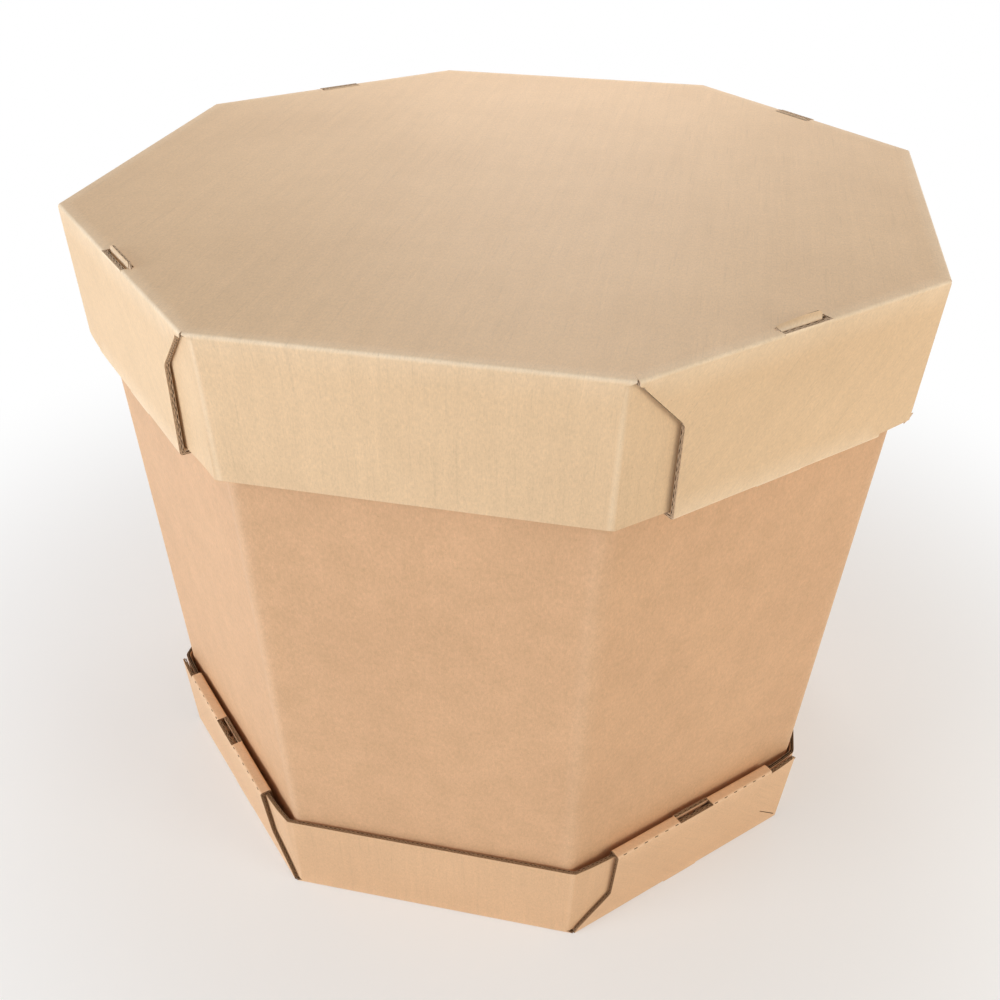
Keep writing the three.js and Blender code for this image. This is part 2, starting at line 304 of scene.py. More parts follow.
class Sheet:
    """Collects the closed shells of one board, with their place on the flat blank."""

    def __init__(self):
        self.points, self.blanks, self.faces, self.marks = [], [], [], []
        self.count = 0

    def add(self, points, blanks, faces, marks):
        self.points.append(points)
        self.blanks.append(blanks)
        self.faces.extend([[v + self.count for v in face] for face in faces])
        self.marks.extend(marks)
        self.count += len(points)

    def plate(self, grid, n0, n1, fold, blank, marks):
        """A layer between depths n0 and n1; marks are the materials of its outer, inner and cut faces."""
        found, faces = grid
        used, flat = np.unique(faces, return_inverse=True)
        faces = flat.reshape(faces.shape)
        found = found[used]
        count = len(found)
        outer = faces.tolist()
        inner = [[v + count for v in reversed(tri)] for tri in outer]
        directed = dict.fromkeys((p, q) for tri in outer for p, q in zip(tri, tri[1:] + tri[:1]))
        walls = [[q, p, p + count, q + count] for p, q in directed if (q, p) not in directed]
        a = np.concatenate([found[:, 0]] * 2)
        b = np.concatenate([found[:, 1]] * 2)
        n = np.repeat([n0, n1], count).astype(float)
        self.add(
            fold(a, b, n), blank(a, b, n), outer + inner + walls,
            [marks[0]] * len(outer) + [marks[1]] * len(inner) + [marks[2]] * len(walls),
        )

    def wave(self, p, q, grain, n0, n1, pitch, phase, fold, blank, reach=FLUTE_DEPTH):
        """Fluted paper between depths n0 and n1 along the cut edge from p to q; the board is left of it."""
        p, q = np.array(p, float), np.array(q, float)
        run = q - p
        length = float(np.hypot(*run))
        run /= length
        left = np.array([-run[1], run[0]])
        across = float(grain @ left)
        if abs(across) < LEAST_ACROSS:
            return
        along = grain * (math.copysign(1.0, across) / abs(across))
        steps = max(4, int(length * abs(across) / pitch * FLUTE_STEPS))
        s = np.linspace(0.0, length, steps + 1)
        sideways = np.array([grain[1], -grain[0]])
        station = float(sideways @ p) + float(sideways @ run) * s
        turn = np.sin(station * (2 * math.pi / pitch) + phase)
        level = (n0 + n1) / 2 + turn * (n1 - n0 - FLUTE_SHEET) / 2
        base = p + run * s[:, None]
        near, far = base + along * FLUTE_RETREAT, base + along * reach
        under, over = level - FLUTE_SHEET / 2, level + FLUTE_SHEET / 2
        a, b = np.concatenate([near, near, far, far]).T
        n = np.concatenate([under, over, over, under])
        size = steps + 1
        faces = []
        for k in range(steps):
            for row in range(4):
                c, d = row * size + k, ((row + 1) % 4) * size + k
                faces.append([c, c + 1, d + 1, d])
        faces.append([row * size for row in range(4)])
        faces.append([row * size + steps for row in reversed(range(4))])
        self.add(fold(a, b, n), blank(a, b, n), faces, [FLUTE] * len(faces))

    def board(self, rings, a_marks, b_marks, fold, blank, grain, raw, slits=()):
        """A double wall board with this outline: liners, a dark core of painted shade, and flutes on the
        edges that raw picks.
        """
        rings = turned(rings)
        cuts = [np.array(slit, float) for slit in slits]
        grid = cells(rings, a_marks, b_marks)
        face = cells(rings + cuts, a_marks, b_marks) if cuts else grid
        core = cells([moved_in(ring, CORE_INSET) for ring in rings], a_marks, b_marks)
        middle = MIDDLE_LINER - LINER / 2, MIDDLE_LINER + LINER / 2
        # The liners' faces inside the board and the core are dark paper: painted shade in the hollows
        # between the flutes.
        self.plate(face, 0.0, LINER, fold, blank, (KRAFT, PAINTED_SHADE, CUT))
        self.plate(grid, BOARD - LINER, BOARD, fold, blank, (PAINTED_SHADE, KRAFT, CUT))
        self.plate(grid, *middle, fold, blank, (PAINTED_SHADE, PAINTED_SHADE, CUT))
        self.plate(core, LINER - CORE_OVERLAP, BOARD - LINER + CORE_OVERLAP, fold, blank, (PAINTED_SHADE,) * 3)
        rows = (LINER, middle[0]), (middle[1], BOARD - LINER)
        for ring in rings:
            for p, q in zip(ring, np.roll(ring, -1, axis=0)):
                if not raw(p, q):
                    continue
                for k, (n0, n1) in enumerate(rows):
                    self.wave(p, q, grain, n0, n1, FLUTE_PITCHES[k], FLUTE_PHASE * k, fold, blank)

    def build(self, name, place, materials):
        points = np.concatenate(self.points) * MM
        mesh = bpy.data.meshes.new(name)
        mesh.from_pydata(points.tolist(), [], self.faces)
        mesh.transform(place)
        blanks = mesh.attributes.new("blank", "FLOAT_VECTOR", "POINT")
        values = np.concatenate(self.blanks) * (MM, MM, 1.0)
        blanks.data.foreach_set("vector", values.astype(np.float32).ravel())
        for material in materials:
            mesh.materials.append(material)
        mesh.polygons.foreach_set("material_index", self.marks)
        mesh.polygons.foreach_set("use_smooth", [True] * len(mesh.polygons))
        mesh.set_sharp_from_angle(angle=SHARP_ANGLE)
        obj = bpy.data.objects.new(name, mesh)
        bpy.context.scene.collection.objects.link(obj)
        return obj


def path_profile(outer, inner):
    """Section of a folded wall: corners of its outer and inner faces, with b running along the outer ones.

    Within FOLD of a corner the outer face is rounded; the inner face follows straight behind the outer one.
    """
    outer, inner = np.array(outer, float), np.array(inner, float)
    lengths = np.linalg.norm(np.diff(outer, axis=0), axis=1)
    at = np.concatenate([[0.0], np.cumsum(lengths)])

    def section(b, n, square=False):
        """Depth and height of the points; the folds stay sharp where square is true."""
        square = np.broadcast_to(square, b.shape)
        b = np.clip(b, at[0], at[-1])
        k = np.clip(np.searchsorted(at, b, side="right") - 1, 0, len(lengths) - 1)
        run = np.diff(outer, axis=0)[k] / lengths[k][:, None]
        out = outer[k] + run * (b - at[k])[:, None]
        low = np.sum((inner[k] - outer[k]) * run, axis=1)
        high = np.sum((inner[k + 1] - outer[k]) * run, axis=1)
        along = b - at[k]
        held = np.clip(along, low, high)
        held = np.where(square, along, held + FOLD_CREEP * (along - held))
        back = inner[k] + run * (held - low)[:, None]
        for c in range(1, len(outer) - 1):
            near = (np.abs(b - at[c]) < FOLD) & ~square
            before = (outer[c - 1] - outer[c]) / lengths[c - 1]
            after = (outer[c + 1] - outer[c]) / lengths[c]
            centre = outer[c] + (before + after) * FOLD
            angle = ((b[near] - at[c] + FOLD) / (2 * FOLD) * (math.pi / 2))[:, None]
            out[near] = centre - after * FOLD * np.cos(angle) - before * FOLD * np.sin(angle)
        share = (n / BOARD)[:, None]
        return out * (1 - share) + back * share

    return section, at


def fold_marks(at):
    """Grid lines across the rounded folds of a section, as heights b."""
    return [c + FOLD * share - STRIP for c in at[1:-1] for share in FOLD_SHARES]


class Tab(NamedTuple):
    """The end of a locking tab, in its slot at the fold."""

    proud: float  # length that stands out
    angles: tuple  # of that length at the tab's two sides, in degrees; 90 is straight out of the slot
    width: float  # share of the slot's width
    depth: float  # of its outer face behind the wall's
    crushed: float  # share of its thickness that is left


class Diagonal(NamedTuple):
    """What differs from one diagonal wall to the next."""

    lean: tuple  # how far its rim leans out, at its free end and at its other end
    inset: float  # from its free corner to its free end
    gape: float  # how far the flap behind its free end hangs back
    tab: Tab
    nicks: tuple = ()  # short cuts in its outer liner


class Cap:
    """A folded cap that opens upwards, with its panel's outer face at height 0.

    Sides are counted anticlockwise from the front: the even ones are single walls, the odd ones diagonal.
    """

    def __init__(self, size, wall, ends, diagonals):
        self.size, self.wall, self.diagonals = size, wall, diagonals
        self.ends = ends  # share of the lean that is left at a diagonal wall's free and other corner
        self.rim = wall + LAYER_GAP + BOARD
        self.span = side_frame(size, 1)[3]
        self.sheet = Sheet()

    def lean(self, i, v, z):
        """How far diagonal side i leans out, at v from its front or back corner and height z."""
        free, full = self.ends
        start = free + (1 - free) * ease((v + LEAN_AHEAD) / LEAN_GROWTH[0])
        end = full + (1 - full) * ease((self.span - v + LEAN_AHEAD) / LEAN_GROWTH[1])
        near, far = self.diagonals[i].lean
        out = near + (far - near) * np.clip(v / self.span, 0, 1)
        return out * start * end * np.clip(z / self.rim, 0.0, LEAN_TOP)

    def place(self, i, v, u, z):
        start, run, inward, _ = side_frame(self.size, i)
        xy = start + run * v[:, None] + inward * u[:, None]
        return np.column_stack([xy, z])

    def blank(self, i, folds, creases=()):
        """Function that gives a point's place on the flat blank, with how near a fold it is."""
        start, run, inward, _ = side_frame(self.size, i)

        def on_blank(a, b, n):
            # Nearness to a fold or crease: it drives the paler paper and painted highlight there
            wear_and_highlight = np.zeros_like(a)
            for at in folds:
                wear_and_highlight = np.maximum(wear_and_highlight, 1 - np.abs(b - at) / FOLD_WEAR_AND_HIGHLIGHT)
            for at in creases:
                wear_and_highlight = np.maximum(wear_and_highlight, CREASE_WEAR_AND_HIGHLIGHT * (1 - np.abs(a - at) / CREASE))
            return np.column_stack([start + run * a[:, None] - inward * b[:, None], wear_and_highlight])

        return on_blank

    def grain(self, i):
        """Direction of the flutes along the fold line and away from it: they run front to back."""
        _, run, inward, _ = side_frame(self.size, i)
        return np.array([run[1], -inward[1]])

    def panel(self):
        x, y, diagonal = self.size
        ring = octagon((x - STRIP, y - STRIP, diagonal - STRIP))
        grid = cells(turned([ring]), ticks(-x, x, PANEL_GRID), ticks(-y, y, PANEL_GRID))
        self.sheet.plate(
            grid, 0.0, BOARD, lambda a, b, n: np.column_stack([a, b, n]),
            lambda a, b, n: np.column_stack([a, b, 0 * n]), (KRAFT, KRAFT, CUT),
        )

    def flap_depth(self, w, z):
        """How far a flap lies behind the diagonal wall's outer face, at w from their corner."""
        loose = FLAP_LOOSE[0] + FLAP_LOOSE[1] * np.clip(z / self.rim, 0, 1)
        return FLOOR + FLAP_PLAY + loose * (1 - smooth((w - HELD_FROM) / HELD_OVER))

    def single_plan(self, i, half, tip):
        """Function that gives the plan of a single wall of this half length with flaps of length tip."""
        neighbours = (i + 1) % 8, (i + 7) % 8
        is_side = i % 4 == 2

        def flap(w, z, which):
            """Point of the flap behind side which, at w from the corner."""
            from_front = self.span - w if is_side else w
            bow = smooth(w / BOW_RISE) * (1 - smooth((w - BOW_FROM) / BOW_OVER))
            bow = bow * np.clip(2 * z / self.rim, 0, 1)
            lean = np.zeros_like(w)
            for side in neighbours:
                held = self.lean(side, from_front, z)
                if not is_side:
                    held = held - self.diagonals[side].gape * bow
                lean = np.where(which == side, held, lean)
            depth = self.flap_depth(w, z) - lean
            return half + (w - depth) * ROOT_HALF, (w + depth) * ROOT_HALF

        def plan(a, z):
            """Place v, u of the outer face at station a and height z: straight wall, crease or flap."""
            h = np.abs(a - half)
            which = np.where(a > half, *neighbours)
            crease = self.flap_depth(np.zeros_like(z), z)
            corner = half - crease / ROOT_HALF
            reach = corner - BEND
            w_start = BEND - crease
            start_v, start_u = flap(w_start, z, which)
            share = np.clip((h - half + CREASE) / (2 * CREASE), 0, 1)
            turn_v = (1 - share) ** 2 * reach + 2 * share * (1 - share) * corner + share ** 2 * start_v
            turn_u = share ** 2 * start_u
            w = w_start + (h - half - CREASE) * (tip - w_start) / (tip - CREASE)
            flap_v, flap_u = flap(w, z, which)
            parts = [h <= half - CREASE, h < half + CREASE]
            v = np.select(parts, [h * reach / (half - CREASE), turn_v], flap_v)
            u = np.select(parts, [np.zeros_like(h), turn_u], flap_u)
            return half + np.where(a > half, v, -v), u

        return plan

    def single_outline(self, i, length, end):
        """Outline of a single wall with its strip of the panel and its two flaps."""
        if i % 4 == 2:
            rise = SIDE_FLAP_RISE
            lower = [
                (length + CREASE + rise - FLAP_LOW, rise),
                (end - SIDE_CHAMFER, rise), (end, rise + SIDE_CHAMFER),
            ]
        else:
            rise = NOTCH_RISE
            notch = length + self.span / 2 - TAB_HALF - 2 * TAB_SLACK
            lower = [
                (length + CREASE + FLAP_SLOPE, FLOOR), (notch - NOTCH_CHAMFER, FLOOR),
                (notch, FLOOR + NOTCH_CHAMFER), (notch, rise - NOTCH_CHAMFER),
                (notch + NOTCH_CHAMFER, rise), (end - TIP_CHAMFER, rise), (end, rise + TIP_CHAMFER),
            ]
        relief = [(length - x, b) for x, b in RELIEF]
        top = [(end, self.wall - TOP_CHAMFER), (end - TOP_CHAMFER, self.wall)]
        right = [*relief, (length + CREASE, FLAP_LOW), *lower, *top]
        return right + [(length - a, b) for a, b in reversed(right)]

    def single(self, i):
        """Front, back, left or right wall with a flap at each of its ends."""
        length = side_frame(self.size, i)[3]
        half = length / 2
        tip = self.span / 2 - FLAP_GAP / 2
        end = length + tip
        plan = self.single_plan(i, half, tip)
        section, at = path_profile(
            [(STRIP, 0), (0, 0), (0, self.wall)],
            [(STRIP, BOARD), (BOARD, BOARD), (BOARD, self.wall)],
        )

        def fold(a, b, n):
            u, z = section(b + STRIP, n).T
            out_v, out_u = plan(a, z)
            run_v, run_u = np.subtract(plan(a + PLAN_STEP, z), plan(a - PLAN_STEP, z))
            size = np.hypot(run_v, run_u)
            warped_v, warped_u = out_v - run_u / size * u, out_u + run_v / size * u
            on_flap = np.abs(a - half) > half - CREASE + TINY
            cut_free = np.where(b >= FLAP_LOW - TINY, 1.0, 0.0)
            share = np.where(on_flap, cut_free, smooth((b - WARP_FROM) / WARP_OVER))
            return self.place(i, a * (1 - share) + warped_v * share, u * (1 - share) + warped_u * share, z)

        def raw(p, q):
            return min(p[1], q[1]) > FLAP_LOW - RAW_SLACK

        creases = [half + s * (half + CREASE * share) for s in (-1, 1) for share in CREASE_SHARES]
        a_marks = ticks(length - end, end, WALL_GRID, creases)
        b_marks = sorted([*fold_marks(at), *ticks(FLAP_LOW, self.wall, SINGLE_RISE_GRID)])
        outline = self.single_outline(i, length, end)
        blank = self.blank(i, (0.0,), (0.0, length))
        self.sheet.board([outline], a_marks, b_marks, fold, blank, self.grain(i), raw)

    def slits(self, free, window):
        """The row of short slits along the outer fold of a rolled rim."""
        cuts = []
        for k in range(int(self.span // SLIT_PITCH)):
            start = free + SLIT_START + SLIT_PITCH * k
            end = start + SLIT_LENGTH
            clear = end < window[0] - SLIT_CLEAR or start > window[1] + SLIT_CLEAR
            if clear and end < self.span - CORNER_INSET - SLIT_CLEAR:
                cuts.append(rectangle(start, end, self.rim - SLIT_HALF, self.rim + SLIT_HALF))
        return cuts

    def double(self, i):
        """Diagonal wall: outer layer, rolled-over rim and inner layer, with the locking tab.

        Its a and v run from the free end, at the front or back corner, to the side corner.
        """
        length, rim, wall = self.span, self.rim, self.wall
        diagonal = self.diagonals[i]
        free, last = diagonal.inset, length - CORNER_INSET
        from_front = i % 4 == 1  # the free end is at the side's first corner
        middle = length / 2
        slot = middle - TAB_HALF - TAB_SLACK, middle + TAB_HALF + TAB_SLACK
        window = middle - RIM_SLOT_HALF, middle + RIM_SLOT_HALF
        rolled = rim + LAYERS + ROLL_END
        bottom = rim + LAYERS + rim - FLOOR
        tab_top = bottom - TAB_RISE + FLOOR
        section, at = path_profile(
            [(STRIP, 0), (0, 0), (0, rim), (LAYERS, rim), (LAYERS, FLOOR)],
            [(STRIP, BOARD), (BOARD, BOARD), (BOARD, rim - BOARD), (LAYERS - BOARD, rim - BOARD),
             (LAYERS - BOARD, FLOOR)],
        )
        blank_at = self.blank(i, (0.0, rim, rim + LAYERS))
        grain = self.grain(i) * ((1, 1) if from_front else (-1, 1))

        def stand(v, u, z):
            return self.place(i, v if from_front else length - v, u - self.lean(i, v, z), z)

        def blank(a, b, n):
            return blank_at(a if from_front else length - a, b, n)

        def fold(a, b, n):
            in_slot = (a > slot[0] - TINY) & (a < slot[1] + TINY) & (b < FOLD + TINY)
            in_window = (a > window[0] - TINY) & (a < window[1] + TINY) & (b > rim / 2)
            u, z = section(b + STRIP, n, in_slot | in_window).T
            return stand(a, u, z)

        def raw(p, q):
            a, b = (p + q) / 2
            if b < 0:
                return slot[0] - SLOT_MARGIN < a < slot[1] + SLOT_MARGIN
            return b < rolled

        ring = [
            (MITRE, -STRIP), (length - MITRE, -STRIP), (length - FOLD_GAP, -FOLD),
            (length - CORNER_GAP, FOLD), (length - CORNER_GAP, wall),
            (last, wall), (last, rolled), (last, bottom),
            (slot[1], bottom), (slot[1], tab_top), (slot[0], tab_top), (slot[0], bottom),
            (free + INNER_TAPER, bottom), (free, rolled), *[(free - x, b) for x, b in FREE_CORNER],
            FREE_FOOT, (FOLD_GAP, -FOLD),
        ]
        tab_hole = rectangle(*slot, -TAB_SLOT_DEPTH, 0)
        window_hole = rectangle(*window, rim - WINDOW_DROP, rim + LAYERS + TINY)
        beside = [a + s * SLOT_MARGIN for pair in (slot, window) for a, s in zip(pair, (-1, 1))]
        a_marks = ticks(0, length, WALL_GRID, [free, last, *slot, *window, *beside])
        b_marks = sorted([
            *fold_marks(at), *ticks(FOLD, rim - FOLD, WALL_GRID),
            *ticks(rim + LAYERS + FOLD, bottom, INNER_RISE_GRID),
        ])
        slits = [*self.slits(free, window), *diagonal.nicks]
        self.sheet.board(
            [ring, tab_hole, window_hole], a_marks, b_marks, fold, blank, grain, raw, slits,
        )
        self.tab(diagonal.tab, slot, stand, blank, grain)

    def tab(self, tab, slot, stand, blank, grain):
        """Locking tab, from the inner layer's lower edge out through the slot."""
        proud, inner_depth = tab.proud, LAYERS - BOARD
        t0 = slot[0] + TAB_PLAY
        t1 = t0 + (slot[1] - slot[0] - 2 * TAB_PLAY) * tab.width

        def fold(a, b, n):
            drawn = np.clip((TAB_RISE - b) / TAB_RISE, 0.0, 1.0)
            outward = inner_depth - (inner_depth - tab.depth) * ease(drawn)
            across = np.clip((a - t0) / (t1 - t0), 0, 1)
            angle = tab.angles[0] + (tab.angles[1] - tab.angles[0]) * across
            bent = np.radians(90 + (angle - 90) * smooth(-b / TAB_BEND))
            beyond = np.maximum(-b, 0)
            left = tab.crushed + (1 - tab.crushed) * smooth((b - CRUSH_FROM) / CRUSH_OVER)
            thick = (BOARD - n) * left
            u = outward + beyond * np.cos(bent) + thick * np.sin(bent)
            z = np.maximum(b, 0) - beyond * np.sin(bent) + thick * np.cos(bent)
            return stand(a, u, z)

        def raw(p, q):
            return max(p[1], q[1]) < TAB_RAW

        tip = 0.3 * TAB_ROUND
        ring = [
            (t0 + TAB_BEVEL, -proud), (t1 - TAB_ROUND, -proud), (t1 - tip, tip - proud),
            (t1, TAB_ROUND - proud), (t1, TAB_TOP), (t0, TAB_TOP), (t0, TAB_BEVEL - proud),
        ]
        along, out, up = TAB_GRID
        b_marks = sorted([*ticks(-proud, 0, out), *ticks(0, TAB_TOP, up)])
        self.sheet.board([ring], ticks(t0, t1, along), b_marks, fold, blank, grain, raw)

    def all(self):
        self.panel()
        for i in (0, 2, 4, 6):
            self.single(i)
        for i in (1, 3, 5, 7):
            self.double(i)
        return self.sheet


def sleeve_pieces():
    """Straight runs and creases in turn, from side 5 round to the lap behind it.

    Each is its kind, the side or corner, where it starts on the side, and its first and last station.
    """
    tangent = SLEEVE_RADIUS * math.tan(math.pi / 8)
    arc = SLEEVE_RADIUS * math.pi / 4
    pieces, at = [], 0.0
    for k in range(9):
        i = (5 + k) % 8
        start = tangent + SLEEVE_SEAM if k == 0 else tangent
        stop = side_frame(SLEEVE, i)[3] - tangent if k < 8 else tangent + SLEEVE_LAP
        pieces.append(("run", i, start, at, at + stop - start))
        at += stop - start
        if k < 8:
            pieces.append(("turn", (i + 1) % 8, 0.0, at, at + arc))
            at += arc
    return pieces, tangent


def sleeve_sheet():
    """The tube: one thick sheet, wound round from its glued joint at the back left."""
    pieces, tangent = sleeve_pieces()
    turns = [(s0, s1) for kind, _, _, s0, s1 in pieces if kind == "turn"]
    middles = [(s0 + s1) / 2 for s0, s1 in turns]
    lap_start, total = pieces[-1][3:]
    z0, z1 = SLEEVE_Z

    def path(a):
        """Place and inward normal of the tube's outer face at station a."""
        xy = np.zeros((len(a), 2))
        normal = np.zeros((len(a), 2))
        for kind, i, start, s0, s1 in pieces:
            last = s1 == total
            here = (a >= s0 - 1e-6) & ((a < s1) | last)
            if not here.any():
                continue
            s = a[here] - s0
            if kind == "run":
                corner, run, inward, _ = side_frame(SLEEVE, i)
                xy[here] = corner + run * (start + s)[:, None]
                normal[here] = inward
            else:
                _, run, inward, _ = side_frame(SLEEVE, (i + 7) % 8)
                centre = octagon(SLEEVE)[i] - run * tangent + inward * SLEEVE_RADIUS
                angle = (s / SLEEVE_RADIUS)[:, None]
                out = -inward * np.cos(angle) + run * np.sin(angle)
                xy[here] = centre + out * SLEEVE_RADIUS
                normal[here] = -out
        return xy, normal

    def fold(a, b, n):
        xy, normal = path(np.clip(a, 0, total))
        inset = (SLEEVE_BOARD + LAP_PLAY) * smooth((a - lap_start - LAP_FROM) / LAP_OVER)
        swell = np.zeros_like(a)
        for middle in middles:
            swell += SWELL * np.exp(-(((a - middle) / SWELL_WIDTH) ** 2))
        return np.column_stack([xy + normal * (n + inset - swell)[:, None], b])

    def blank(a, b, n):
        # Nearness to a crease: it drives the paler paper and painted highlight there
        wear_and_highlight = np.zeros_like(a)
        for middle in middles:
            wear_and_highlight = np.maximum(wear_and_highlight, SLEEVE_WEAR_AND_HIGHLIGHT * (1 - np.abs(a - middle) / SLEEVE_HIGHLIGHT_WIDTH))
        return np.column_stack([a, b, wear_and_highlight])

    across = [s0 + (s1 - s0) * x for s0, s1 in turns for x in np.linspace(0, 1, TURN_STEPS)]
    around = [middle + d for middle in middles for d in BESIDE_TURN]
    beside_lap = [lap_start + d for d in BESIDE_LAP]
    a_marks = ticks(0, total, SLEEVE_GRID[0], [*across, *around, *beside_lap])
    b_marks = ticks(z0, z1, SLEEVE_GRID[1])
    ring = turned([rectangle(0, total, z0, z1)])
    grid = cells(ring, a_marks, b_marks)
    core = cells([moved_in(ring[0], SLEEVE_CORE_INSET)], a_marks, b_marks)
    back = SLEEVE_BOARD - LINER
    liners = [(depth - SLEEVE_MIDDLE_HALF, depth + SLEEVE_MIDDLE_HALF) for depth in SLEEVE_MIDDLES]
    rows = (LINER, liners[0][0]), (liners[0][1], liners[1][0]), (liners[1][1], back)
    sheet = Sheet()
    # The liners' faces inside the sheet and the core are dark paper: painted shade in the hollows between
    # the flutes.
    sheet.plate(grid, 0.0, LINER, fold, blank, (KRAFT, PAINTED_SHADE, CUT))
    sheet.plate(grid, back, SLEEVE_BOARD, fold, blank, (PAINTED_SHADE, KRAFT, CUT))
    sheet.plate(core, LINER - CORE_OVERLAP, back + CORE_OVERLAP, fold, blank, (PAINTED_SHADE,) * 3)
    for low, high in ((z0, z0 + SLEEVE_MIDDLE_RISE), (z1 - SLEEVE_MIDDLE_RISE, z1)):
        band = cells(turned([rectangle(0, total, low, high)]), a_marks, [])
        for n0, n1 in liners:
            sheet.plate(band, n0, n1, fold, blank, (PAINTED_SHADE, PAINTED_SHADE, CUT))
    upright = np.array([0.0, 1.0])
    for p, q in (((0, z0), (total, z0)), ((total, z1), (0, z1))):
        for k, (n0, n1) in enumerate(rows):
            pitch, phase = SLEEVE_PITCHES[k], SLEEVE_PHASE * k
            sheet.wave(p, q, upright, n0, n1, pitch, phase, fold, blank, SLEEVE_FLUTE_DEPTH)
    return sheet


def nodes_of(name):
    material = bpy.data.materials.new(name)
    material.use_nodes = True
    tree = material.node_tree
    tree.nodes.clear()
    out = tree.nodes.new("ShaderNodeOutputMaterial")
    return material, tree, out


def srgb(r, g, b):
    """Linear colour from 0..255 screen values."""
    def channel(value):
        c = value / 255
        return c / 12.92 if c <= 0.04045 else ((c + 0.055) / 1.055) ** 2.4
    return channel(r), channel(g), channel(b), 1.0


def grey(value):
    return value, value, value, 1.0


class Graph:
    """Small helper for node trees."""

    def __init__(self, tree):
        self.tree = tree

    def node(self, kind, inputs=None, **settings):
        node = self.tree.nodes.new(kind)
        for key, value in settings.items():
            setattr(node, key, value)
        for key, value in (inputs or {}).items():
            if isinstance(value, bpy.types.NodeSocket):
                self.tree.links.new(value, node.inputs[key])
            else:
                node.inputs[key].default_value = value
        return node

    def noise(self, vector, scale, detail=3.0, rough=0.55):
        return self.node(
            "ShaderNodeTexNoise", {"Vector": vector, "Scale": scale, "Detail": detail, "Roughness": rough},
        ).outputs["Fac"]

    def stretched_noise(self, vector, scale, detail=3.0, rough=0.55):
        """Noise with a scale of its own along each of the vector's first two axes."""
        mapping = self.node("ShaderNodeMapping", {"Vector": vector, "Scale": (*scale, 1.0)})
        return self.noise(mapping.outputs["Vector"], 1.0, detail, rough)

    def ramp(self, fac, stops):
        """Colour from stops of position and tone; a tone is a colour or a grey level."""
        node = self.node("ShaderNodeValToRGB", {"Fac": fac})
        elements = node.color_ramp.elements
        while len(elements) < len(stops):
            elements.new(0.5)
        for element, (position, tone) in zip(elements, stops):
            element.position = position
            element.color = tone if isinstance(tone, tuple) else grey(tone)
        return node.outputs["Color"]

    def math(self, operation, a, b=0.0):
        node = self.node("ShaderNodeMath", {0: a, 1: b}, operation=operation)
        return node.outputs[0]

    def blend(self, fac, a, b, kind="MIX"):
        settings = {"data_type": "RGBA", "blend_type": kind}
        return self.node("ShaderNodeMix", {"Factor": fac, 6: a, 7: b}, **settings).outputs[2]

    def bump(self, strength, height):
        inputs = {"Strength": strength, "Distance": 0.0004, "Height": height}
        return self.node("ShaderNodeBump", inputs).outputs["Normal"]

    def surface(self, out, shade, rough, normal, gloss):
        shader = self.node("ShaderNodeBsdfPrincipled", {
            "Base Color": shade, "Roughness": rough, "Normal": normal, "Specular IOR Level": gloss,
        })
        self.tree.links.new(shader.outputs[0], out.inputs["Surface"])


